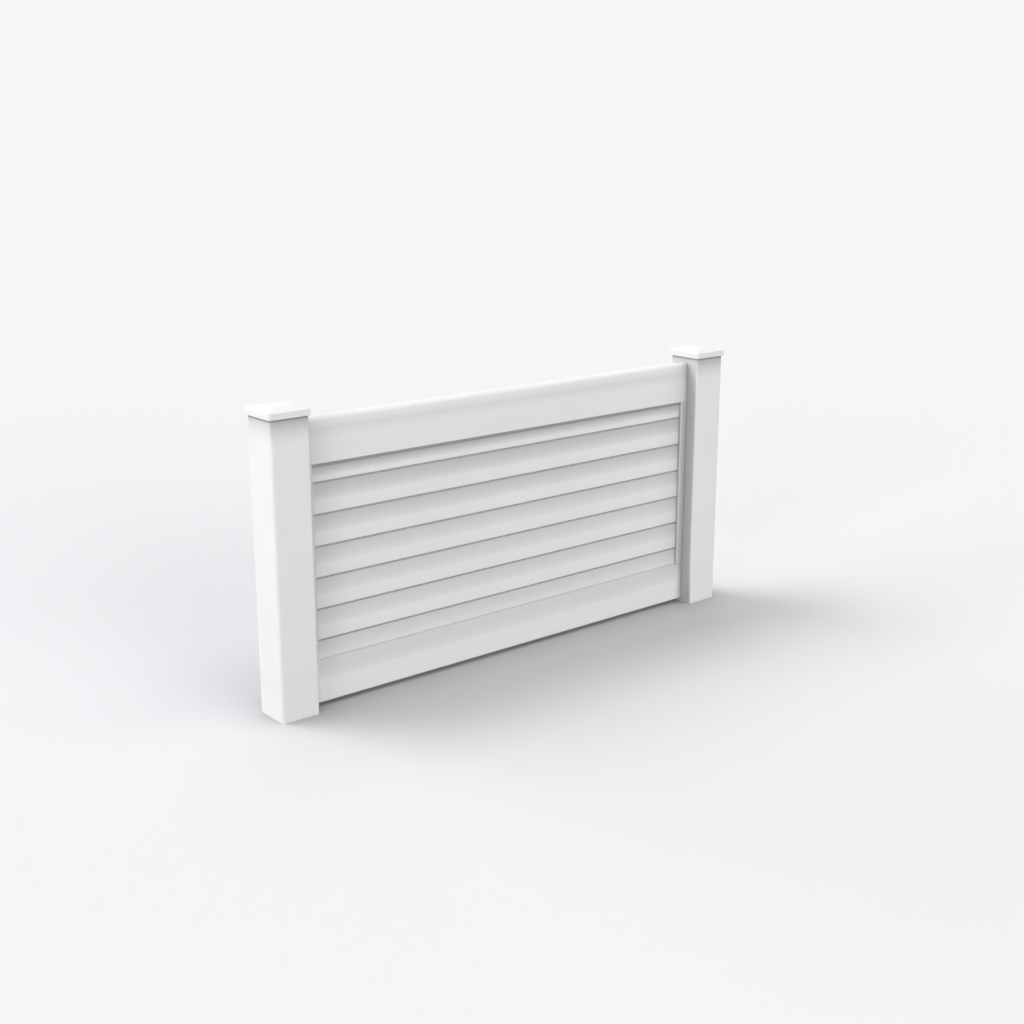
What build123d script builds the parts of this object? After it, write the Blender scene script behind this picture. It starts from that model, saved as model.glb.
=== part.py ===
from build123d import *
from math import asin, atan2, cos, degrees, pi, sin, sqrt, tan
import os

# Wall topper fence panel: two hollow vinyl posts, two rails let into them, and a louvred infill.
# Lengths are millimetres. X runs along the panel, the front faces -Y, and Z is up.
# The origin is on the ground, midway between the posts.

# Posts
panel_gap = 1592.0              # clear width between the posts
post_width = 127.0
post_wall = 3.8
post_corner_radius = 8.0
post_height = 914.4

# Post caps
cap_overhang = 5.5
cap_skirt = 18.5
cap_cover = 10.4                # how far the skirt comes down over the post
cap_wall = 3.0
cap_corner_radius = 9.0
cap_crown_rise = 11.0
cap_plateau_share = 0.6         # flat of the crown, of the cap's width
cap_hip_radius = 8.0
cap_plateau_radius = 10.0
cap_rib_width = 3.0
cap_rib_clearance = 0.3
cap_rib_start = 2.0
cap_rib_shares = (-0.5, 0.5)    # places along a side, of half the post's width

# Rails
rail_thickness = 38.1
rail_height = 139.7
rail_wall = 2.3
rail_top_radius = 14.0
rail_edge_radius = 3.0
rail_crown_height = 58.0        # the part of a face below the top that leans back
rail_crown_radius = 450.0
rail_engagement = 32.0          # length of a rail inside a post, from the post's face
rail_clearance = 0.4
ground_clearance = 13.0
post_rise = 28.6                # post above the top rail
pocket_wall = 1.8
rail_slot_gap = 0.3             # at the boards' faces
top_pocket_depth = 32.0
bottom_pocket_depth = 39.6
lock_tab_length = 10.0
lock_tab_height = 12.0
lock_tab_rise = 1.6
lock_tab_share = 0.3            # height of a tab's foot, of the rail's height

# Weep slots punched through the bottom rail
weep_length = 24.0
weep_width = 6.0
weep_shares = (-0.36, 0.36)

# Bottom rail stiffener
stiffener_height = 57.0
stiffener_wall = 2.0
stiffener_corner_radius = 1.5
stiffener_clearance = 0.4
stiffener_end_gap = 8.0

# Louvre boards
louvre_pitch_aim = 96.5         # the boards' pitch is the nearest one that fills the panel
louvre_top_share = 0.556        # part of the top board's pitch that shows below the top rail
louvre_depth = 22.2
louvre_flat = 41.0              # upright foot of a board's face, below its cove
louvre_cove = 3.0               # how far the cove draws back under the board above
louvre_quirk_height = 6.0       # shadow groove between a cove and the lip above it
louvre_quirk = 6.0              # depth of that groove behind the cove's end
louvre_skin = 1.8
louvre_tongue = 12.0
louvre_fit = 0.4
louvre_tongue_gap = 1.0
louvre_shoulder_gap = 0.6
louvre_lip_radius = 1.6
louvre_tongue_chamfer = 1.2
louvre_joint_chamfer = 0.9
louvre_rib = 1.5
louvre_rib_shares = (0.4, 0.7)
louvre_end_gap = 5.0
louvre_seat_gap = 0.3

# Side channels
channel_width = 30.0
channel_wall = 1.8
channel_web = 2.3
channel_hole_gap = 0.3          # round the boards, where they pass through the channel's flank
channel_edge_radius = 1.2
channel_screw_shares = (0.16, 0.84)

# Channel screws
screw_radius = 2.1
screw_length = 22.0
screw_tip = 4.0
screw_head_radius = 4.2
screw_head_height = 2.6
screw_head_draft = 0.9          # how much narrower the head is at its top
screw_hole_gap = 0.15

# Post mounts
mount_plate_gap = 2.5
mount_plate_thickness = 6.35
mount_plate_corner = 6.0        # clipped off each corner
mount_hole_radius = 5.6
upright_size = 50.8
upright_wall = 3.2
upright_corner_radius = 5.0
upright_overrun = 25.0          # upright above the upper spacer
weld_leg = 4.0

# Post spacers
spacer_thickness = 18.0
spacer_wall = 4.0
spacer_spoke = 3.0
spacer_gap = 0.3
spacer_shares = (0.06, 0.75)    # heights, of the side channel's height

least_radius = 0.5              # smallest inner corner left where a wall eats a radius
overrun = 1.0                   # how far a cut runs past the face it opens

# Places worked out from the sizes above
post_x = (panel_gap + post_width) / 2
post_inner = post_width - 2 * post_wall
post_inner_radius = max(post_corner_radius - post_wall, least_radius)
bottom_rail_z = ground_clearance
bottom_rail_top = bottom_rail_z + rail_height
top_rail_z = post_height - post_rise - rail_height
rail_length = panel_gap + 2 * rail_engagement
slot_width = louvre_depth + 2 * rail_slot_gap
pocket_width = slot_width + 2 * pocket_wall
louvre_foot_z = bottom_rail_top - bottom_pocket_depth + louvre_seat_gap
louvre_head_limit = top_rail_z + top_pocket_depth - louvre_seat_gap
louvre_height = top_rail_z - louvre_foot_z
louvre_full_boards = round(louvre_height / louvre_pitch_aim - louvre_top_share)
louvre_pitch = louvre_height / (louvre_full_boards + louvre_top_share)
louvre_length = panel_gap - 2 * (channel_web + louvre_end_gap)
louvre_cove_rise = louvre_pitch - louvre_quirk_height - louvre_flat
louvre_tongue_front = louvre_cove + louvre_quirk
cap_width = post_width + 2 * cap_overhang
mount_plate = post_inner - 2 * mount_plate_gap
mount_hole_spacing = (mount_plate + upright_size) / 2


def along_x(section, length):
    """Extrude a section drawn in Y and Z along the panel, centred on the origin."""
    return extrude(Plane.YZ.offset(-length / 2) * section, amount=length)


def to_left(shape):
    """Copy a right-hand piece to the left end."""
    return mirror(shape, about=Plane.YZ)


# Rails

def crown_angle():
    """Lean of a rail's face where it runs into the rounded top edge."""
    return asin((rail_crown_height - rail_top_radius) / (rail_crown_radius - rail_top_radius))


def rail_outline():
    """Outer section of a rail: crisp foot, upright face, slightly crowned shoulder, rounded top."""
    half = rail_thickness / 2
    lean = crown_angle()
    crown_foot = rail_height - rail_crown_height
    middle = (lean + pi / 2) / 2

    def on_crown(angle):
        return (half - rail_crown_radius * (1 - cos(angle)), crown_foot + rail_crown_radius * sin(angle))

    shoulder = on_crown(lean)
    centre = (shoulder[0] - rail_top_radius * cos(lean), shoulder[1] - rail_top_radius * sin(lean))
    mid_round = (centre[0] + rail_top_radius * cos(middle), centre[1] + rail_top_radius * sin(middle))
    top_edge = (centre[0], rail_height)
    foot_edge = (half - rail_edge_radius, 0)
    foot_side = (half, rail_edge_radius)
    quarter = rail_edge_radius * (1 - sqrt(0.5))
    foot_mid = (half - quarter, quarter)
    side = [
        Line((0, 0), foot_edge),
        ThreePointArc(foot_edge, foot_mid, foot_side),
        Line(foot_side, (half, crown_foot)),
        ThreePointArc((half, crown_foot), on_crown(lean / 2), shoulder),
        ThreePointArc(shoulder, mid_round, top_edge),
        Line(top_edge, (0, rail_height)),
    ]
    back = make_face(side + [Line((0, rail_height), (0, 0))])
    return back + mirror(back, about=Plane.YZ)


def slot_edge_height():
    """Height on the rail's section where the boards' slot meets its rounded top."""
    lean = crown_angle()
    centre_y = rail_thickness / 2 - rail_crown_radius * (1 - cos(lean)) - rail_top_radius * cos(lean)
    reach = max(slot_width / 2 - centre_y, 0)
    return rail_height - rail_top_radius + sqrt(max(rail_top_radius ** 2 - reach ** 2, 0))


channel_foot_z = bottom_rail_z + slot_edge_height()
channel_height = top_rail_z - channel_foot_z


def rail_section(pocket_depth, slot_at_top):
    """Hollow rail with an inner pocket that takes the boards."""
    outline = rail_outline()
    hollow = offset(outline, amount=-rail_wall)
    block_height = pocket_depth + pocket_wall
    middle = rail_height - block_height / 2 if slot_at_top else block_height / 2
    floor = rail_height - pocket_depth - pocket_wall / 2 if slot_at_top else pocket_depth + pocket_wall / 2
    mouth = rail_height - (pocket_depth - overrun) / 2 if slot_at_top else (pocket_depth - overrun) / 2
    pocket = Pos(0, middle) * Rectangle(pocket_width, block_height)
    web = Pos(0, floor) * Rectangle(rail_thickness, pocket_wall)
    slot = Pos(0, mouth) * Rectangle(slot_width, pocket_depth + overrun)
    return (outline - hollow) + (outline & pocket) + (outline & web) - slot


def lock_tab():
    """Wedge pressed out of a rail's face, which catches behind the post's wall."""
    near = panel_gap / 2 + post_wall + rail_clearance
    far = near + lock_tab_length
    face = rail_thickness / 2
    root = face - rail_wall / 2
    wedge = make_face(Polyline((near, root), (near, face + lock_tab_rise), (far, face), (far, root), close=True))
    return Pos(0, 0, rail_height * lock_tab_share) * extrude(wedge, amount=lock_tab_height)


def make_rail(pocket_depth, slot_at_top, foot_z):
    rail = along_x(rail_section(pocket_depth, slot_at_top), rail_length)
    tab = lock_tab()
    pair = [tab, mirror(tab, about=Plane.XZ)]
    rail = rail + pair + [to_left(one) for one in pair]
    return Pos(0, 0, foot_z) * rail


def weep_cuts():
    """Punch for the weep slots, from under the bottom rail up into its pocket."""
    reach = rail_height - bottom_pocket_depth + 2 * overrun
    punch = Pos(0, 0, bottom_rail_z - overrun) * extrude(Rectangle(weep_length, weep_width), amount=reach)
    return [Pos(share * panel_gap, 0, 0) * punch for share in weep_shares]


def make_bottom_rail():
    return make_rail(bottom_pocket_depth, True, bottom_rail_z) - weep_cuts()


def make_top_rail():
    return make_rail(top_pocket_depth, False, top_rail_z)


def make_stiffener():
    """Aluminium U section that lies in the foot of the bottom rail."""
    width = rail_thickness - 2 * (rail_wall + stiffener_clearance)
    block = Pos(0, stiffener_height / 2) * Rectangle(width, stiffener_height)
    low_corners = block.vertices().group_by(Axis.Y)[0]
    block = fillet(low_corners, stiffener_corner_radius)
    inside_height = stiffener_height - stiffener_wall + overrun
    inside = Pos(0, stiffener_wall + inside_height / 2) * Rectangle(width - 2 * stiffener_wall, inside_height)
    bar = along_x(block - inside, rail_length - 2 * stiffener_end_gap)
    return Pos(0, 0, bottom_rail_z + rail_wall) * bar - weep_cuts()


# Louvre boards

def cove_arc(inset):
    """Arc of the cove, moved into the board by an inset, with its end below the shadow groove."""
    radius = (louvre_cove_rise ** 2 + louvre_cove ** 2) / (2 * louvre_cove)
    sweep = asin((louvre_cove_rise - inset) / (radius - inset))

    def on_arc(angle):
        back = radius - (radius - inset) * cos(angle)
        return (back, louvre_flat + (radius - inset) * sin(angle))

    return on_arc(0), on_arc(sweep / 2), on_arc(sweep)


def louvre_front():
    """Face of a board from its rounded lip up to the back of the shadow groove."""
    quarter = louvre_lip_radius * (1 - sqrt(0.5))
    start, middle, end = cove_arc(0)
    lip = ThreePointArc((louvre_lip_radius, 0), (quarter, quarter), (0, louvre_lip_radius))
    ledge = Line(end, (louvre_tongue_front, end[1]))
    return [lip, Line((0, louvre_lip_radius), start), ThreePointArc(start, middle, end), ledge]


def louvre_outer():
    """Outer section of a board, with its depth from the front along X and its height along Y."""
    tongue_back = louvre_depth - louvre_skin - louvre_fit
    tongue_top = louvre_pitch + louvre_tongue
    shoulder = louvre_pitch - louvre_shoulder_gap
    groove_front = louvre_tongue_front - louvre_fit
    groove_back = louvre_depth - louvre_skin
    groove_roof = louvre_tongue + louvre_tongue_gap
    rest = Polyline(
        (louvre_tongue_front, louvre_flat + louvre_cove_rise),
        (louvre_tongue_front, tongue_top - louvre_tongue_chamfer),
        (louvre_tongue_front + louvre_tongue_chamfer, tongue_top),
        (tongue_back - louvre_tongue_chamfer, tongue_top),
        (tongue_back, tongue_top - louvre_tongue_chamfer),
        (tongue_back, shoulder),
        (louvre_depth - louvre_joint_chamfer, shoulder),
        (louvre_depth, shoulder - louvre_joint_chamfer),
        (louvre_depth, louvre_joint_chamfer),
        (louvre_depth - louvre_joint_chamfer, 0),
        (groove_back, 0),
        (groove_back, groove_roof),
        (groove_front, groove_roof),
        (groove_front, 0),
        (louvre_lip_radius, 0),
    )
    return make_face(louvre_front() + [rest])


def louvre_inner():
    """Hollow of a board, one skin inside its outer section."""
    tongue_back = louvre_depth - 2 * louvre_skin - louvre_fit
    tongue_top = louvre_pitch + louvre_tongue - louvre_skin
    shoulder = louvre_pitch - louvre_shoulder_gap - louvre_skin
    groove_front = louvre_tongue_front - louvre_fit - louvre_skin
    groove_roof = louvre_tongue + louvre_tongue_gap + louvre_skin
    start, middle, end = cove_arc(louvre_skin)
    rest = Polyline(
        end,
        (louvre_tongue_front + louvre_skin, end[1]),
        (louvre_tongue_front + louvre_skin, tongue_top),
        (tongue_back, tongue_top),
        (tongue_back, shoulder),
        (louvre_depth - louvre_skin, shoulder),
        (louvre_depth - louvre_skin, groove_roof),
        (groove_front, groove_roof),
        (groove_front, louvre_skin),
        (louvre_skin, louvre_skin),
        start,
    )
    return make_face([ThreePointArc(start, middle, end), rest])


def louvre_section():
    outer = louvre_outer()
    section = outer - louvre_inner()
    for share in louvre_rib_shares:
        rib = Pos(louvre_depth / 2, share * louvre_pitch) * Rectangle(louvre_depth, louvre_rib)
        section += outer & rib
    return Pos(-louvre_depth / 2, 0) * section


def make_louvres():
    """Boards from the bottom up. The top one is ripped down to fit the top rail's pocket."""
    board = along_x(louvre_section(), louvre_length)
    boards = [Pos(0, 0, louvre_foot_z + i * louvre_pitch) * board for i in range(louvre_full_boards + 1)]
    waste = extrude(Rectangle(panel_gap, rail_thickness), amount=louvre_pitch + louvre_tongue)
    boards[-1] -= Pos(0, 0, louvre_head_limit) * waste
    return boards


# Side channels and their screws

def screw_heights():
    return [channel_foot_z + share * channel_height for share in channel_screw_shares]


def board_hole():
    """Section of one board with its joints filled, with the channel's clearance round it."""
    back = Polyline(
        (louvre_tongue_front, louvre_flat + louvre_cove_rise),
        (louvre_tongue_front, louvre_pitch),
        (louvre_depth, louvre_pitch),
        (louvre_depth, 0),
        (louvre_lip_radius, 0),
    )
    filled = make_face(louvre_front() + [back])
    return Pos(-louvre_depth / 2, 0) * offset(filled, amount=channel_hole_gap, kind=Kind.INTERSECTION)


def board_cuts():
    """Routing through the right channel's flank, one hole for each board, run together."""
    hole = extrude(Plane.YZ * board_hole(), amount=channel_wall + 2 * overrun)
    start = panel_gap / 2 - channel_width - overrun
    return [Pos(start, 0, louvre_foot_z + i * louvre_pitch) * hole for i in range(louvre_full_boards + 1)]


def make_right_channel():
    """Box channel between the rails. The boards' ends pass through its flank to hide inside it."""
    face = panel_gap / 2
    outer = Pos(face - channel_width / 2, 0) * Rectangle(channel_width, rail_thickness)
    open_corners = outer.vertices().group_by(Axis.X)[0]
    outer = fillet(open_corners, channel_edge_radius)
    cell_width = channel_width - channel_web - channel_wall
    cell = Pos(face - channel_web - cell_width / 2, 0) * Rectangle(cell_width, rail_thickness - 2 * channel_wall)
    channel = Pos(0, 0, channel_foot_z) * extrude(outer - cell, amount=channel_height)
    return channel - board_cuts() - screw_holes()


def screw_holes():
    """Drill through a channel's web and the post's wall."""
    reach = channel_web + post_wall + 2 * overrun
    drill = extrude(Plane.YZ * Circle(screw_radius + screw_hole_gap), amount=reach)
    start = panel_gap / 2 - channel_web - overrun
    return [Pos(start, 0, height) * drill for height in screw_heights()]


def make_screw():
    """Pan-head screw that points along X, with the underside of its head at the origin."""
    shank_end = screw_length - screw_tip
    profile = make_face(Polyline(
        (-screw_head_height, 0),
        (-screw_head_height, screw_head_radius - screw_head_draft),
        (0, screw_head_radius),
        (0, screw_radius),
        (shank_end, screw_radius),
        (screw_length, 0),
        close=True,
    ))
    return revolve(profile, axis=Axis.X)


def make_right_screws():
    screw = make_screw()
    seat = panel_gap / 2 - channel_web
    return Part() + [Pos(seat, 0, height) * screw for height in screw_heights()]


# Posts and caps

def rail_cuts():
    """Routed openings in the right post's inner face."""
    hole = offset(rail_outline(), amount=rail_clearance)
    cut = extrude(Plane.YZ.offset(panel_gap / 2 - overrun) * hole, amount=post_wall + 2 * overrun)
    return [Pos(0, 0, height) * cut for height in (bottom_rail_z, top_rail_z)]


def make_right_post():
    outer = RectangleRounded(post_width, post_width, post_corner_radius)
    inner = RectangleRounded(post_inner, post_inner, post_inner_radius)
    tube = Pos(post_x, 0, 0) * extrude(outer - inner, amount=post_height)
    return tube - rail_cuts() - screw_holes()


def cap_ribs():
    """Centring ribs inside the skirt."""
    skirt_inner = cap_width / 2 - cap_wall
    rib_depth = skirt_inner - post_width / 2 - cap_rib_clearance + cap_wall / 2
    rib_height = cap_cover - cap_rib_start
    rib = extrude(Rectangle(rib_depth, cap_rib_width), amount=rib_height)
    reach = skirt_inner + cap_wall / 2 - rib_depth / 2
    side = [Pos(reach, share * post_width / 2, cap_rib_start) * rib for share in cap_rib_shares]
    return [Rot(0, 0, turn) * one for turn in (0, 90, 180, 270) for one in side]


def crown_lean():
    """Angle of the crown's four slopes from the vertical."""
    return atan2(cap_width * (1 - cap_plateau_share) / 2, cap_crown_rise)


def crown_block():
    """Solid form of a cap: an upright skirt and a low hipped crown with softened edges."""
    square = Rectangle(cap_width, cap_width)
    crown = extrude(square, amount=cap_crown_rise, taper=degrees(crown_lean()))
    block = extrude(square, amount=cap_skirt) + Pos(0, 0, cap_skirt) * crown
    edges = block.edges()
    hips = edges - edges.filter_by(Axis.X) - edges.filter_by(Axis.Y) - edges.filter_by(Axis.Z)
    block = fillet(hips, cap_hip_radius)
    block = fillet(block.faces().sort_by(Axis.Z)[-1].edges(), cap_plateau_radius)
    return fillet(block.edges().filter_by(Axis.Z), cap_corner_radius)


def make_right_cap():
    """External cap, hollow, with a ledge inside that sits on the post's end."""
    skirt_inner = cap_width - 2 * cap_wall
    skirt_radius = max(cap_corner_radius - cap_wall, least_radius)
    mouth = RectangleRounded(skirt_inner, skirt_inner, skirt_radius)
    cap = crown_block() - Pos(0, 0, -overrun) * extrude(mouth, amount=cap_cover + overrun)
    well = Rectangle(post_inner, post_inner)
    well_top = cap_skirt + (cap_width - post_inner) / 2 / tan(crown_lean()) - cap_wall / sin(crown_lean())
    roof_rise = cap_skirt + cap_crown_rise - cap_wall - well_top
    roof = extrude(well, amount=roof_rise, taper=degrees(crown_lean()))
    cap -= Pos(0, 0, cap_cover) * extrude(well, amount=well_top - cap_cover) + Pos(0, 0, well_top) * roof
    cap += cap_ribs()
    return Pos(post_x, 0, post_height - cap_cover) * cap


# Post mounts and spacers

def spacer_heights():
    return [channel_foot_z + share * channel_height for share in spacer_shares]


def make_right_mount():
    """Base plate with a welded upright, which the hollow post slides over."""
    plate_corner = min(mount_plate_corner, mount_plate / 4)
    plate_outline = chamfer(Rectangle(mount_plate, mount_plate).vertices(), plate_corner)
    plate = extrude(plate_outline, amount=mount_plate_thickness)
    reach = mount_hole_spacing / 2
    drill = Pos(0, 0, -overrun) * extrude(Circle(mount_hole_radius), amount=mount_plate_thickness + 2 * overrun)
    plate -= [Pos(x, y, 0) * drill for x in (-reach, reach) for y in (-reach, reach)]
    upright_top = spacer_heights()[-1] + spacer_thickness + upright_overrun
    outer = RectangleRounded(upright_size, upright_size, upright_corner_radius)
    bore_size = upright_size - 2 * upright_wall
    bore = Rectangle(bore_size, bore_size)
    height = upright_top - mount_plate_thickness
    upright = Pos(0, 0, mount_plate_thickness) * extrude(outer - bore, amount=height)
    weld_foot = offset(outer, amount=weld_leg)
    weld = loft([Pos(0, 0, mount_plate_thickness) * weld_foot,
                 Pos(0, 0, mount_plate_thickness + weld_leg) * outer])
    weld -= Pos(0, 0, mount_plate_thickness) * extrude(bore, amount=weld_leg)
    return Pos(post_x, 0, 0) * (plate + weld + upright)


def make_right_spacers():
    """Two ribbed rings that centre the post on its upright. Their corners are cut clear of both radii."""
    outer_size = post_inner - 2 * spacer_gap
    hole_size = upright_size + 2 * spacer_gap
    outer = chamfer(Rectangle(outer_size, outer_size).vertices(), post_inner_radius)
    rim_size = outer_size - 2 * spacer_wall
    rim = outer - Rectangle(rim_size, rim_size)
    hub_size = hole_size + 2 * spacer_wall
    hole_cut = upright_corner_radius * (2 - sqrt(2))
    hole = chamfer(Rectangle(hole_size, hole_size).vertices(), hole_cut)
    hub = Rectangle(hub_size, hub_size)
    bar = Rectangle(outer_size - spacer_wall, spacer_spoke)
    bar_y = hole_size / 4
    bars = [Rot(0, 0, turn) * Pos(0, bar_y) * bar for turn in (0, 90, 180, 270)]
    ring = extrude(rim + hub + bars - hole, amount=spacer_thickness)
    return [Pos(post_x, 0, height) * ring for height in spacer_heights()]


# Every node, by name

nodes = {
    "top_rail": make_top_rail(),
    "bottom_rail": make_bottom_rail(),
    "bottom_rail_stiffener": make_stiffener(),
}
for i, board in enumerate(make_louvres()):
    nodes[f"louvre_board_{i + 1}"] = board

lower_spacer, upper_spacer = make_right_spacers()
right_pieces = {
    "post": make_right_post(),
    "post_cap": make_right_cap(),
    "side_channel": make_right_channel(),
    "channel_screws": make_right_screws(),
    "post_mount": make_right_mount(),
    "lower_spacer": lower_spacer,
    "upper_spacer": upper_spacer,
}
for name, piece in right_pieces.items():
    nodes[f"right_{name}"] = piece
    nodes[f"left_{name}"] = to_left(piece)

os.makedirs("parts", exist_ok=True)
for name, shape in nodes.items():
    export_step(shape, f"parts/{name}.step")
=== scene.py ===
import math
import bpy
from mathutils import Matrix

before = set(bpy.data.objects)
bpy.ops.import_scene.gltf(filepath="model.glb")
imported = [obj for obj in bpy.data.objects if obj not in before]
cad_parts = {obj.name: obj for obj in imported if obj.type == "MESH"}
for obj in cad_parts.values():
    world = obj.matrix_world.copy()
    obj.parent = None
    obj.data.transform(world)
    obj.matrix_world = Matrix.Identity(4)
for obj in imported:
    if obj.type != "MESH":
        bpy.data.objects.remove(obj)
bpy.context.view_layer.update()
bpy.ops.object.select_all(action="DESELECT")
print("frame loaded:", len(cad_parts), "pieces")


# Places on the panel, in metres, read from its pieces

def span(name, axis):
    places = [corner[axis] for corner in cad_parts[name].bound_box]
    return min(places), max(places)


alongPanel, upPanel = 0, 2  # axes
postInner = span("right_post", alongPanel)[0]  # where the rails and boards meet a post
capFoot = span("right_post_cap", upPanel)[0]
topRailFoot, topRailTop = span("top_rail", upPanel)
lowRailTop = span("bottom_rail", upPanel)[1]
firstBoard = span("louvre_board_1", upPanel)[0]
boardPitch = span("louvre_board_2", upPanel)[0] - firstBoard


# Camera at the photo's angle

cameraSet = {
    "place": (-2.8809, -3.4484, 1.6761),
    "turn": (74.996, 0.0, -39.881),  # degrees
    "lens": 50.0,
    "sensor": 36.0,
}


def makeCamera():
    data = bpy.data.cameras.new("photoCamera")
    data.lens = cameraSet["lens"]
    data.sensor_width = cameraSet["sensor"]
    camera = bpy.data.objects.new("photoCamera", data)
    bpy.context.scene.collection.objects.link(camera)
    camera.location = cameraSet["place"]
    camera.rotation_euler = [math.radians(angle) for angle in cameraSet["turn"]]
    bpy.context.scene.camera = camera


makeCamera()
print("camera set")


# Node helpers. Where one takes a source, a node's output is linked and a plain value is set.

def addNode(tree, kind, **settings):
    node = tree.nodes.new("ShaderNode" + kind)
    for name, value in settings.items():
        setattr(node, name, value)
    return node


def feed(tree, source, socket):
    if isinstance(source, bpy.types.NodeSocket):
        tree.links.new(source, socket)
    else:
        socket.default_value = source


def doMath(tree, operation, first, second=0.0, clamp=False):
    node = addNode(tree, "Math", operation=operation, use_clamp=clamp)
    feed(tree, first, node.inputs[0])
    feed(tree, second, node.inputs[1])
    return node.outputs[0]


def doVector(tree, operation, first, second):
    node = addNode(tree, "VectorMath", operation=operation)
    feed(tree, first, node.inputs[0])
    feed(tree, second, node.inputs[1])
    return node.outputs


def doRange(tree, value, low, high, newLow=0.0, newHigh=1.0):
    node = addNode(tree, "MapRange", interpolation_type="SMOOTHSTEP")
    for source, socket in zip((value, low, high, newLow, newHigh), node.inputs):
        feed(tree, source, socket)
    return node.outputs[0]


def doMix(tree, factor, first, second):
    node = addNode(tree, "Mix", data_type="RGBA")
    feed(tree, factor, node.inputs["Factor"])
    feed(tree, first, node.inputs[6])  # the colour pair of the Mix node's many sockets
    feed(tree, second, node.inputs[7])
    return node.outputs[2]


def doNoise(tree, vector, scale, detail):
    node = addNode(tree, "TexNoise")
    feed(tree, vector, node.inputs["Vector"])
    feed(tree, scale, node.inputs["Scale"])
    feed(tree, detail, node.inputs["Detail"])
    return node.outputs[0]


def doBump(tree, height, distance, strength):
    node = addNode(tree, "Bump")
    node.inputs["Distance"].default_value = distance
    node.inputs["Strength"].default_value = strength
    feed(tree, height, node.inputs["Height"])
    return node.outputs[0]


def takePlace(tree):
    return addNode(tree, "TexCoord").outputs["Object"]


def takeNormal(tree):
    return addNode(tree, "NewGeometry").outputs["Normal"]


def splitAxes(tree, vector):
    node = addNode(tree, "SeparateXYZ")
    feed(tree, vector, node.inputs[0])
    return node.outputs


# inputs: name, kind and usual value; outputs: names, all of them single values
def newGroup(name, inputs, outputs):
    tree = bpy.data.node_groups.new(name, "ShaderNodeTree")
    kinds = {"value": "NodeSocketFloat", "vector": "NodeSocketVector"}
    for label, kind, value in inputs:
        socket = tree.interface.new_socket(name=label, in_out="INPUT", socket_type=kinds[kind])
        socket.default_value = value
    for label in outputs:
        tree.interface.new_socket(name=label, in_out="OUTPUT", socket_type=kinds["value"])
    start = tree.nodes.new("NodeGroupInput")
    end = tree.nodes.new("NodeGroupOutput")
    return tree, start.outputs, end.inputs


# an underscore in a value's name stands for the space in its socket's name
def useGroup(tree, group, **values):
    node = addNode(tree, "Group", node_tree=group)
    for label, value in values.items():
        feed(tree, value, node.inputs[label.replace("_", " ")])
    return node.outputs


def newMaterial(name):
    material = bpy.data.materials.new(name)
    material.use_nodes = True
    return material, material.node_tree, material.node_tree.nodes["Principled BSDF"]


def withAlpha(values, names):
    return {name: (*values[name], 1.0) for name in names}


# Die lines: fine lines that the die leaves along an extrusion, and broad faint streaks with them

dieLineSet = {"noiseScale": 1.0, "noiseDetail": 3.0}


def makeDieLines():
    tree, take, give = newGroup(
        "dieLines",
        [("Fine Scale", "vector", (4.0, 700.0, 700.0)), ("Broad Scale", "vector", (0.6, 60.0, 60.0))],
        ["Lines", "Streaks"],
    )
    place = takePlace(tree)
    for label, result in (("Fine Scale", "Lines"), ("Broad Scale", "Streaks")):
        stretched = doVector(tree, "MULTIPLY", place, take[label])[0]
        noise = doNoise(tree, stretched, dieLineSet["noiseScale"], dieLineSet["noiseDetail"])
        feed(tree, noise, give[result])
    return tree


# Edge wear: a mask of the edges, broken up as handling wears them

edgeWearSet = {
    "samples": 6,
    "edge": (0.995, 0.9),  # match of the rounded and the true normal, from no wear to full wear
    "breakDetail": 4.0,
    "breakRange": (0.38, 0.62),
}


def makeEdgeWear():
    tree, take, give = newGroup(
        "edgeWear", [("Width", "value", 0.0012), ("Breaks", "value", 90.0)], ["Wear"])
    rounded = addNode(tree, "Bevel", samples=edgeWearSet["samples"])
    feed(tree, take["Width"], rounded.inputs["Radius"])
    match = doVector(tree, "DOT_PRODUCT", rounded.outputs[0], takeNormal(tree))["Value"]
    edge = doRange(tree, match, *edgeWearSet["edge"])
    noise = doNoise(tree, takePlace(tree), take["Breaks"], edgeWearSet["breakDetail"])
    broken = doRange(tree, noise, *edgeWearSet["breakRange"])
    feed(tree, doMath(tree, "MULTIPLY", edge, broken, True), give["Wear"])
    return tree


# Crease shade: painted shade in laps and corners, in a tight and a wide band

creaseSet = {
    "samples": 12,
    "faceUp": (0.3, 0.8),  # how far a face looks up, from its sides' shade to its tops' shade
    "faceIn": (-0.3, -0.8),  # how far a face looks in at the panel
}


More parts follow.
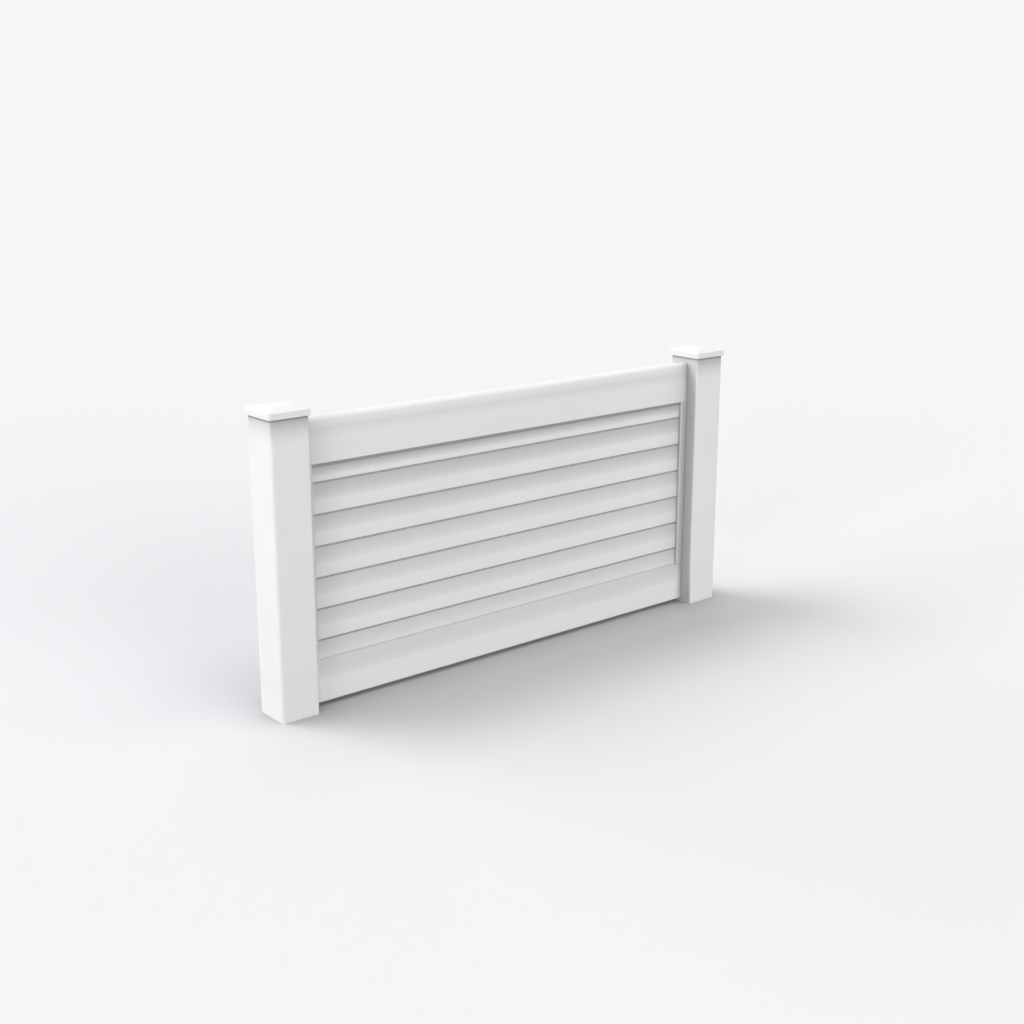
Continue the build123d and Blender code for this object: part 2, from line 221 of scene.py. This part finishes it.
def makeCreaseShade():
    tree, take, give = newGroup(
        "creaseShade",
        [("Tight", "value", 0.012), ("Wide", "value", 0.06),
         ("Tight Part", "value", 0.5), ("Wide Part", "value", 0.5),
         ("Fade Start", "value", 0.03), ("Fade End", "value", 0.15),
         ("Most", "value", 0.35), ("Top Part", "value", 0.25)],
        ["Shade"],
    )
    place = splitAxes(tree, takePlace(tree))
    facing = splitAxes(tree, takeNormal(tree))
    bands = []
    for label in ("Tight", "Wide"):
        around = addNode(tree, "AmbientOcclusion", samples=creaseSet["samples"])
        feed(tree, take[label], around.inputs["Distance"])
        hidden = doMath(tree, "SUBTRACT", 1.0, around.outputs["AO"], True)
        bands.append(doMath(tree, "MULTIPLY", hidden, take[label + " Part"]))
    tight, wide = bands
    # the wide band fades near the ground, save on faces that look in at the panel, and on tops
    raised = doRange(tree, place["Z"], take["Fade Start"], take["Fade End"])
    outward = doMath(tree, "MULTIPLY", doMath(tree, "SIGN", place["X"]), facing["X"])
    kept = doMath(tree, "MAXIMUM", raised, doRange(tree, outward, *creaseSet["faceIn"]))
    onTop = doRange(tree, facing["Z"], *creaseSet["faceUp"], 1.0, take["Top Part"])
    wide = doMath(tree, "MULTIPLY", doMath(tree, "MULTIPLY", wide, kept), onTop)
    both = doMath(tree, "ADD", tight, wide)
    feed(tree, doMath(tree, "MINIMUM", both, take["Most"]), give["Shade"])
    return tree


# Lap shade: painted soft shade below each lip, round a head and by the posts, and a crisp painted shadow
# line at a head

lapShadeSet = {
    "faceFront": (-0.2, -0.6),  # how far a face looks to the front, where the soft shade lies
    "lineCore": 0.4,  # full part of the crisp line, of its reach
}


def makeLapShade():
    tree, take, give = newGroup(
        "lapShade",
        [("Foot", "value", 0.1), ("Pitch", "value", 0.1), ("Lap Reach", "value", 0.05),
         ("Lap Bend", "value", 1.0), ("Lap Part", "value", 0.0), ("Rise Start", "value", 0.0),
         ("Rise End", "value", 1.0), ("Rise", "value", 1.0),
         ("Head", "value", 0.7), ("Head Reach", "value", 0.05), ("Head Bend", "value", 1.0),
         ("Head Part", "value", 0.0),
         ("End", "value", 0.8), ("End Reach", "value", 0.035), ("End Bend", "value", 1.0),
         ("End Part", "value", 0.0),
         ("Line Drop", "value", 0.0), ("Line Reach", "value", 0.003), ("Line Part", "value", 0.0),
         ("Every Side", "value", 0.0)],
        ["Shade"],
    )
    place = splitAxes(tree, takePlace(tree))
    facing = splitAxes(tree, takeNormal(tree))
    # distances to the next lip above, to the head and to the post
    above = doMath(tree, "SUBTRACT", place["Z"], take["Foot"])
    course = doMath(tree, "FRACT", doMath(tree, "DIVIDE", above, take["Pitch"]))
    toLap = doMath(tree, "MULTIPLY", doMath(tree, "SUBTRACT", 1.0, course), take["Pitch"])
    toHead = doMath(tree, "ABSOLUTE", doMath(tree, "SUBTRACT", take["Head"], place["Z"]))
    across = doMath(tree, "ABSOLUTE", place["X"])
    toEnd = doMath(tree, "ABSOLUTE", doMath(tree, "SUBTRACT", take["End"], across))
    shades = []
    for gap, label in ((toLap, "Lap"), (toHead, "Head"), (toEnd, "End")):
        share = doMath(tree, "DIVIDE", gap, take[label + " Reach"])
        near = doMath(tree, "SUBTRACT", 1.0, share, True)
        bent = doMath(tree, "POWER", near, take[label + " Bend"])
        shades.append(doMath(tree, "MULTIPLY", bent, take[label + " Part"]))
    lap, head, end = shades
    rise = doRange(tree, place["Z"], take["Rise Start"], take["Rise End"], 1.0, take["Rise"])
    lap = doMath(tree, "MULTIPLY", lap, rise)  # deeper high up, below the top rail
    deepest = doMath(tree, "MAXIMUM", doMath(tree, "MAXIMUM", lap, head), end)
    front = doRange(tree, facing["Y"], *lapShadeSet["faceFront"])
    sides = doMath(tree, "MAXIMUM", front, take["Every Side"])
    soft = doMath(tree, "MULTIPLY", deepest, sides)
    lineHeight = doMath(tree, "SUBTRACT", take["Head"], take["Line Drop"])
    fromLine = doMath(tree, "ABSOLUTE", doMath(tree, "SUBTRACT", lineHeight, place["Z"]))
    core = doMath(tree, "MULTIPLY", take["Line Reach"], lapShadeSet["lineCore"])
    line = doRange(tree, fromLine, take["Line Reach"], core)
    crisp = doMath(tree, "MULTIPLY", line, take["Line Part"])
    feed(tree, doMath(tree, "MAXIMUM", soft, crisp), give["Shade"])
    return tree


# Mottle: slow drift of tone over a surface, and the small peel of its skin

mottleSet = {"driftDetail": 3.0, "peelDetail": 1.0}


def makeMottle():
    tree, take, give = newGroup(
        "mottle", [("Drift Scale", "value", 3.0), ("Peel Scale", "value", 420.0)], ["Drift", "Peel"])
    place = takePlace(tree)
    feed(tree, doNoise(tree, place, take["Drift Scale"], mottleSet["driftDetail"]), give["Drift"])
    feed(tree, doNoise(tree, place, take["Peel Scale"], mottleSet["peelDetail"]), give["Peel"])
    return tree


# Dust and top shade: speckled dust on tops and splashes near the ground, and a mask of the tops for an
# even painted shade on them

dustSet = {
    # the tops' mask serves both the dust on tops and the even painted shade on them
    "faceUp": (0.5, 0.95),
    "topPart": 0.5,
    "splashPart": 0.7,
    "speckleDetail": 5.0,
    "speckleRange": (0.5, 0.75),
}


def makeDustAndTopShade():
    tree, take, give = newGroup(
        "dustAndTopShade", [("Splash Height", "value", 0.12), ("Speckle", "value", 160.0)], ["Dust", "Top Shade"])
    place = takePlace(tree)
    height = splitAxes(tree, place)["Z"]
    topDustAndShade = doRange(tree, splitAxes(tree, takeNormal(tree))["Z"], *dustSet["faceUp"])
    # mask of the tops for an even painted shade on them
    feed(tree, topDustAndShade, give["Top Shade"])
    top = doMath(tree, "MULTIPLY", topDustAndShade, dustSet["topPart"])
    splash = doRange(tree, height, take["Splash Height"], 0.0, 0.0, dustSet["splashPart"])
    noise = doNoise(tree, place, take["Speckle"], dustSet["speckleDetail"])
    speckle = doRange(tree, noise, *dustSet["speckleRange"])
    both = doMath(tree, "ADD", splash, top, True)
    feed(tree, doMath(tree, "MULTIPLY", both, speckle), give["Dust"])
    return tree


dieLines = makeDieLines()
edgeWear = makeEdgeWear()
creaseShade = makeCreaseShade()
lapShade = makeLapShade()
mottle = makeMottle()
dustAndTopShade = makeDustAndTopShade()
print("shared effects made")


# Lamps, floor and backdrop

studioSet = {
    "backdrop": (0.939, 0.922, 0.947),
    "worldLight": 0.26,
    "floorSize": 120.0,
    "floorColour": (0.768, 0.753, 0.783),
    # floorShade is the colour of the painted contact shadow right under the panel
    "floorShade": (0.0, 0.0, 0.0),  # what the floor darkens to right under the panel
    "floorBounce": (0.03, 0.03, 0.03),  # what the floor sends back to the panel
    "floorFade": (3.2, 9.5),  # metres from the panel where the floor turns into the backdrop
    # settings of the painted contact shadow on the floor round the panel's foot
    "contact": {"Tight": 0.14, "Wide": 0.62, "Tight_Part": 0.24, "Wide_Part": 0.48,
                "Fade_Start": -1.0, "Fade_End": -0.5, "Most": 0.85, "Top_Part": 1.0},
    "lightColours": {"plain": (1.0, 1.0, 1.0), "warm": (1.0, 1.0, 0.965)},
    # compass turn from the front, height, strength, spread and colour; angles in degrees
    "lamps": {
        "keyLamp": (220.0, 49.0, 1.66, 35.0, "plain"),
        "frontLamp": (4.0, 13.0, 2.10, 44.0, "warm"),
        "frontRightLamp": (47.0, 46.0, 0.70, 45.0, "warm"),
        "leftFrontLamp": (292.0, 7.0, 1.08, 26.0, "plain"),
        "leftLowLamp": (258.0, 7.0, 1.92, 32.0, "plain"),
        "backLowLamp": (192.0, 8.0, 1.18, 36.0, "plain"),
        "backRightLamp": (143.0, 36.0, 0.42, 45.0, "plain"),
        "rightLowLamp": (98.0, 6.0, 0.55, 26.0, "plain"),
    },
}
straightDown = 90.0  # height of a lamp that isn't tilted, in degrees


def makeLamp(name, turn, height, strength, spread, colour):
    data = bpy.data.lights.new(name, "SUN")
    data.energy = strength
    data.angle = math.radians(spread)
    data.color = studioSet["lightColours"][colour]
    lamp = bpy.data.objects.new(name, data)
    bpy.context.scene.collection.objects.link(lamp)
    lamp.rotation_euler = (math.radians(straightDown - height), 0.0, math.radians(turn))


# mask of the rays that come straight from the camera, or by way of gloss or glass
def seenDirectly(tree):
    rays = addNode(tree, "LightPath").outputs
    either = doMath(tree, "MAXIMUM", rays["Is Camera Ray"], rays["Is Glossy Ray"])
    return doMath(tree, "MAXIMUM", either, rays["Is Transmission Ray"])


def mixShaders(tree, factor, first, second, output):
    mix = addNode(tree, "MixShader")
    for source, socket in zip((factor, first, second), mix.inputs):
        feed(tree, source, socket)
    feed(tree, mix.outputs[0], output.inputs[0])


def makeWorld():
    world = bpy.data.worlds.new("studioWorld")
    bpy.context.scene.world = world
    world.use_nodes = True
    tree = world.node_tree
    tree.nodes.clear()
    light = addNode(tree, "Background")
    light.inputs["Strength"].default_value = studioSet["worldLight"]
    seen = addNode(tree, "Background")
    seen.inputs["Color"].default_value = (*studioSet["backdrop"], 1.0)
    output = addNode(tree, "OutputWorld")
    mixShaders(tree, seenDirectly(tree), light.outputs[0], seen.outputs[0], output)


def makeFloor():
    bpy.ops.mesh.primitive_plane_add(size=studioSet["floorSize"], location=(0, 0, 0))
    floor = bpy.context.object
    floor.name = "studioFloor"
    material, tree, shader = newMaterial("floorPaper")
    colours = withAlpha(studioSet, ("backdrop", "floorColour", "floorShade", "floorBounce"))
    direct = seenDirectly(tree)
    # painted contact shadow round the panel's foot, from the crease shade
    contact = useGroup(tree, creaseShade, **studioSet["contact"])["Shade"]
    tone = doMix(tree, contact, colours["floorColour"], colours["floorShade"])
    feed(tree, doMix(tree, direct, colours["floorBounce"], tone), shader.inputs["Base Color"])
    shader.inputs["Roughness"].default_value = 1.0
    shader.inputs["Specular IOR Level"].default_value = 0.0
    distance = addNode(tree, "VectorMath", operation="LENGTH")
    feed(tree, takePlace(tree), distance.inputs[0])
    far = doRange(tree, distance.outputs["Value"], *studioSet["floorFade"])
    paper = addNode(tree, "Emission")
    paper.inputs["Color"].default_value = colours["backdrop"]
    fade = doMath(tree, "MULTIPLY", far, direct)
    mixShaders(tree, fade, shader.outputs[0], paper.outputs[0], tree.nodes["Material Output"])
    floor.data.materials.append(material)


makeWorld()
makeFloor()
for lampName, values in studioSet["lamps"].items():
    makeLamp(lampName, *values)
print("studio set")


# Vinyl

alongX = {"Fine_Scale": (4.0, 700.0, 700.0), "Broad_Scale": (0.6, 60.0, 60.0)}
alongZ = {"Fine_Scale": (700.0, 700.0, 4.0), "Broad_Scale": (60.0, 60.0, 0.6)}
vinylCommon = {
    "colour": (0.80, 0.789, 0.794),
    "drift": (0.785, 0.775, 0.784),
    "worn": (0.84, 0.830, 0.834),
    # colour that the painted shade in creases, laps and by the posts darkens towards
    "shade": (0.10, 0.10, 0.102),
    "dust": (0.62, 0.60, 0.57),
    "topShadeColour": (0.60, 0.597, 0.61),
    "topDustAndShade": 0.0,  # even painted shade on tops
    "driftRange": (0.3, 0.7),
    "streakRange": (0.45, 0.8),
    "streakPart": 0.5,
    "wearPart": 0.5,
    "dustPart": 0.25,
    "mostShade": 0.47,
    "roughness": 0.42,
    "roughLines": 0.10,
    "dustRough": 0.3,
    "wearPolish": 0.08,
    "specular": 0.35,
    "peelHeight": 0.00006,
    "peelPart": 0.6,
    "creases": {"Tight": 0.012, "Wide": 0.15, "Tight_Part": 0.12, "Wide_Part": 1.0,
                "Most": 0.42, "Fade_Start": 0.06, "Fade_End": 0.22},
    "laps": {},
}
capReach = 0.080  # how far down a post the cap's shade goes
shoulderDrop = 0.0388  # from the top rail's top to the band of painted shade on its shoulder
slotLoss = 0.00293  # height that the boards' slot takes off the bottom rail's round top
vinylKinds = {
    "vinylPost": {
        **vinylCommon,
        "lines": alongZ,
        # painted shade below the cap, with a crisp painted shadow line under its skirt
        "laps": {"Head": capFoot, "Head_Reach": capReach, "Head_Bend": 1.5, "Head_Part": 0.52,
                 "Line_Drop": 0.003, "Line_Reach": 0.0065, "Line_Part": 0.72, "Every_Side": 0.55},
    },
    "vinylTopRail": {
        **vinylCommon,
        "lines": alongX,
        # a band of painted shade on the rail's shoulder
        "laps": {"Head": topRailTop - shoulderDrop, "Head_Reach": 0.026, "Head_Part": 0.13},
    },
    "vinylLowRail": {
        **vinylCommon,
        "lines": alongX,
        # painted shade below the rail's top, a crisp painted shadow line along it, and painted shade by
        # the posts
        "laps": {"Head": lowRailTop + slotLoss, "Head_Reach": 0.070, "Head_Bend": 0.6,
                 "Head_Part": 0.26, "Line_Drop": 0.0015, "Line_Reach": 0.012, "Line_Part": 0.46,
                 "End": postInner, "End_Part": 0.48, "Every_Side": 1.0},
    },
    "vinylBoard": {
        **vinylCommon,
        "lines": alongX,
        "creases": {**vinylCommon["creases"], "Tight_Part": 0.22},
        # painted shade below each lip, deeper high up, and under the top rail, with a crisp painted
        # shadow line below the rail
        "laps": {"Foot": firstBoard, "Pitch": boardPitch, "Lap_Reach": 0.058, "Lap_Bend": 0.62,
                 "Lap_Part": 0.325, "Rise_Start": 0.40, "Rise_End": 0.70, "Rise": 1.44,
                 "Head": topRailFoot, "Head_Reach": 0.041, "Head_Part": 0.68,
                 "Line_Drop": 0.0080, "Line_Reach": 0.0042, "Line_Part": 0.74},
    },
    "vinylChannel": {
        **vinylCommon,
        "lines": alongZ,
        # painted shade towards the posts
        "laps": {"End": postInner, "End_Part": 0.56},
    },
    "vinylCap": {
        **vinylCommon,
        "lines": alongX,
        "roughness": 0.40,
        "roughLines": 0.04,
        # even painted shade on the caps' tops, so that they stay below white
        "topDustAndShade": 0.22,
        "specular": 0.25,
    },
}


# both shades together, held to a limit that only a deeper lap shade passes
def joinShades(tree, crease, lap, most):
    openCrease = doMath(tree, "SUBTRACT", 1.0, crease)
    openLap = doMath(tree, "SUBTRACT", 1.0, lap)
    joined = doMath(tree, "SUBTRACT", 1.0, doMath(tree, "MULTIPLY", openCrease, openLap))
    return doMath(tree, "MINIMUM", joined, doMath(tree, "MAXIMUM", lap, most))


def makeVinyl(name, values):
    material, tree, shader = newMaterial(name)
    lines = useGroup(tree, dieLines, **values["lines"])
    skin = useGroup(tree, mottle)
    wear = useGroup(tree, edgeWear)["Wear"]
    dustAndShadeMasks = useGroup(tree, dustAndTopShade)
    # painted shade in creases and corners, joined below with the painted lap shade
    shade = useGroup(tree, creaseShade, **values["creases"])["Shade"]
    if values["laps"]:
        lap = useGroup(tree, lapShade, **values["laps"])["Shade"]
        shade = joinShades(tree, shade, lap, values["mostShade"])

    colours = withAlpha(values, ("colour", "drift", "worn", "shade", "dust", "topShadeColour"))
    drift = doRange(tree, skin["Drift"], *values["driftRange"])
    streaks = doRange(tree, lines["Streaks"], *values["streakRange"], 0.0, values["streakPart"])
    tone = doMix(tree, drift, colours["colour"], colours["drift"])
    tone = doMix(tree, streaks, tone, colours["drift"])
    # edge wear, painted shade on tops and settled dust, each mixed over the tone
    for mask, part, colour in (
        (wear, values["wearPart"], "worn"),
        (dustAndShadeMasks["Top Shade"], values["topDustAndShade"], "topShadeColour"),
        (dustAndShadeMasks["Dust"], values["dustPart"], "dust"),
    ):
        tone = doMix(tree, doMath(tree, "MULTIPLY", mask, part), tone, colours[colour])
    # the painted shade darkens the tone towards the shade colour
    feed(tree, doMix(tree, shade, tone, colours["shade"]), shader.inputs["Base Color"])
    shader.inputs["Specular IOR Level"].default_value = values["specular"]

    rough = doMath(tree, "MULTIPLY", lines["Lines"], values["roughLines"])
    rough = doMath(tree, "ADD", rough, values["roughness"] - values["roughLines"] / 2)
    rough = doMath(tree, "ADD", rough, doMath(tree, "MULTIPLY", dustAndShadeMasks["Dust"], values["dustRough"]))
    rough = doMath(tree, "SUBTRACT", rough, doMath(tree, "MULTIPLY", wear, values["wearPolish"]))
    feed(tree, rough, shader.inputs["Roughness"])
    height = doMath(tree, "ADD", skin["Peel"], lines["Lines"])
    bump = doBump(tree, height, values["peelHeight"], values["peelPart"])
    feed(tree, bump, shader.inputs["Normal"])
    return material


finishes = {name: makeVinyl(name, values) for name, values in vinylKinds.items()}
print("vinyl made")


# Metals

metalCommon = {
    "driftRange": (0.35, 0.7),
    "driftPart": 0.4,
    "streakRange": (0.45, 0.8),
    "streakPart": 0.4,
    "wearPart": 0.7,
    "flakeRough": 0.25,  # of the flakes' part
    "bumpPart": 0.7,
}
metalKinds = {
    "millAluminium": {
        **metalCommon,
        "lines": alongX,
        "colour": (0.74, 0.75, 0.76),
        "drift": (0.62, 0.63, 0.65),
        "worn": (0.86, 0.87, 0.88),
        "roughness": 0.32,
        "roughLines": 0.22,
        "flakes": 40.0,
        "flakePart": 0.15,
        "lineHeight": 0.00008,
    },
    "galvanisedSteel": {
        **metalCommon,
        "lines": alongZ,
        "colour": (0.58, 0.60, 0.62),
        "drift": (0.42, 0.44, 0.46),
        "worn": (0.72, 0.73, 0.74),
        "roughness": 0.42,
        "roughLines": 0.08,
        "flakes": 90.0,
        "flakePart": 0.7,
        "lineHeight": 0.00003,
    },
    "stainlessSteel": {
        **metalCommon,
        "lines": alongX,
        "colour": (0.63, 0.62, 0.60),
        "drift": (0.52, 0.51, 0.50),
        "worn": (0.80, 0.80, 0.79),
        "roughness": 0.24,
        "roughLines": 0.14,
        "flakes": 400.0,
        "flakePart": 0.1,
        "lineHeight": 0.00004,
    },
}
flakeSet = {
    "warpScale": 0.5,  # of the flakes' own scale
    "warp": 0.012,  # metres that a flake's outline wanders
    "seamRange": (0.05, 0.0),
}


# crystal flakes, as on hot-dip zinc, each with its own tone, and the seams between them
def makeFlakes():
    tree, take, give = newGroup("flakes", [("Scale", "value", 90.0)], ["Tone", "Seam"])
    place = takePlace(tree)
    noise = addNode(tree, "TexNoise")
    feed(tree, place, noise.inputs["Vector"])
    feed(tree, doMath(tree, "MULTIPLY", take["Scale"], flakeSet["warpScale"]), noise.inputs["Scale"])
    nudge = addNode(tree, "VectorMath", operation="SCALE")
    feed(tree, noise.outputs["Color"], nudge.inputs[0])
    feed(tree, flakeSet["warp"], nudge.inputs["Scale"])
    warped = doVector(tree, "ADD", place, nudge.outputs[0])[0]
    cells = addNode(tree, "TexVoronoi")
    seams = addNode(tree, "TexVoronoi", feature="DISTANCE_TO_EDGE")
    for node in (cells, seams):
        feed(tree, warped, node.inputs["Vector"])
        feed(tree, take["Scale"], node.inputs["Scale"])
    split = addNode(tree, "SeparateColor")
    feed(tree, cells.outputs["Color"], split.inputs[0])
    feed(tree, split.outputs[0], give["Tone"])
    feed(tree, doRange(tree, seams.outputs["Distance"], *flakeSet["seamRange"]), give["Seam"])
    return tree


flakes = makeFlakes()


def makeMetal(name, values):
    material, tree, shader = newMaterial(name)
    lines = useGroup(tree, dieLines, **values["lines"])
    crystal = useGroup(tree, flakes, Scale=values["flakes"])
    skin = useGroup(tree, mottle)
    wear = useGroup(tree, edgeWear)["Wear"]

    colours = withAlpha(values, ("colour", "drift", "worn"))
    crystals = doMath(tree, "MULTIPLY", crystal["Tone"], values["flakePart"])
    drift = doRange(tree, skin["Drift"], *values["driftRange"], 0.0, values["driftPart"])
    streaks = doRange(tree, lines["Streaks"], *values["streakRange"], 0.0, values["streakPart"])
    tone = colours["colour"]
    for mask in (crystals, drift, streaks):
        tone = doMix(tree, mask, tone, colours["drift"])
    tone = doMix(tree, doMath(tree, "MULTIPLY", wear, values["wearPart"]), tone, colours["worn"])
    feed(tree, tone, shader.inputs["Base Color"])
    shader.inputs["Metallic"].default_value = 1.0

    rough = doMath(tree, "MULTIPLY", lines["Lines"], values["roughLines"])
    rough = doMath(tree, "ADD", rough, values["roughness"] - values["roughLines"] / 2)
    sheen = doMath(tree, "MULTIPLY", crystals, values["flakeRough"])
    feed(tree, doMath(tree, "ADD", rough, sheen), shader.inputs["Roughness"])
    height = doMath(tree, "SUBTRACT", lines["Lines"], crystal["Seam"])
    bump = doBump(tree, height, values["lineHeight"], values["bumpPart"])
    feed(tree, bump, shader.inputs["Normal"])
    return material


finishes.update({name: makeMetal(name, values) for name, values in metalKinds.items()})
print("metals made")


# Moulded plastic

spacerSet = {
    "colour": (0.022, 0.022, 0.024),
    "drift": (0.035, 0.035, 0.037),
    "worn": (0.09, 0.09, 0.09),
    "dust": (0.25, 0.24, 0.22),
    "driftRange": (0.3, 0.7),
    "wearPart": 0.8,
    "dustPart": 0.5,
    "roughness": 0.5,
    "driftRough": 0.2,
    "dustRough": 0.3,
    "grainScale": 900.0,
    "grainHeight": 0.00008,
    "grainPart": 0.6,
}


def makeSpacerPlastic(values):
    material, tree, shader = newMaterial("spacerPlastic")
    skin = useGroup(tree, mottle, Peel_Scale=values["grainScale"])
    wear = useGroup(tree, edgeWear)["Wear"]
    dust = useGroup(tree, dustAndTopShade)["Dust"]

    colours = withAlpha(values, ("colour", "drift", "worn", "dust"))
    drift = doRange(tree, skin["Drift"], *values["driftRange"])
    tone = doMix(tree, drift, colours["colour"], colours["drift"])
    tone = doMix(tree, doMath(tree, "MULTIPLY", wear, values["wearPart"]), tone, colours["worn"])
    tone = doMix(tree, doMath(tree, "MULTIPLY", dust, values["dustPart"]), tone, colours["dust"])
    feed(tree, tone, shader.inputs["Base Color"])

    rough = doMath(tree, "MULTIPLY", skin["Drift"], values["driftRough"])
    rough = doMath(tree, "ADD", rough, values["roughness"] - values["driftRough"] / 2)
    rough = doMath(tree, "ADD", rough, doMath(tree, "MULTIPLY", dust, values["dustRough"]))
    feed(tree, rough, shader.inputs["Roughness"])
    bump = doBump(tree, skin["Peel"], values["grainHeight"], values["grainPart"])
    feed(tree, bump, shader.inputs["Normal"])
    return material


finishes["spacerPlastic"] = makeSpacerPlastic(spacerSet)
print("plastic made")


# Each piece's finish

nodeLooks = {
    "left_post": "vinylPost", "right_post": "vinylPost",
    "left_post_cap": "vinylCap", "right_post_cap": "vinylCap",
    "top_rail": "vinylTopRail", "bottom_rail": "vinylLowRail",
    "left_side_channel": "vinylChannel", "right_side_channel": "vinylChannel",
    "bottom_rail_stiffener": "millAluminium",
    "left_channel_screws": "stainlessSteel", "right_channel_screws": "stainlessSteel",
    "left_post_mount": "galvanisedSteel", "right_post_mount": "galvanisedSteel",
    "left_lower_spacer": "spacerPlastic", "left_upper_spacer": "spacerPlastic",
    "right_lower_spacer": "spacerPlastic", "right_upper_spacer": "spacerPlastic",
}
for name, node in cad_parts.items():
    look = nodeLooks.get(name, "vinylBoard")  # the rest are louvre boards
    for slot in node.material_slots:
        slot.material = finishes[look]
print("materials set")

bpy.context.scene.view_settings.view_transform = "Standard"
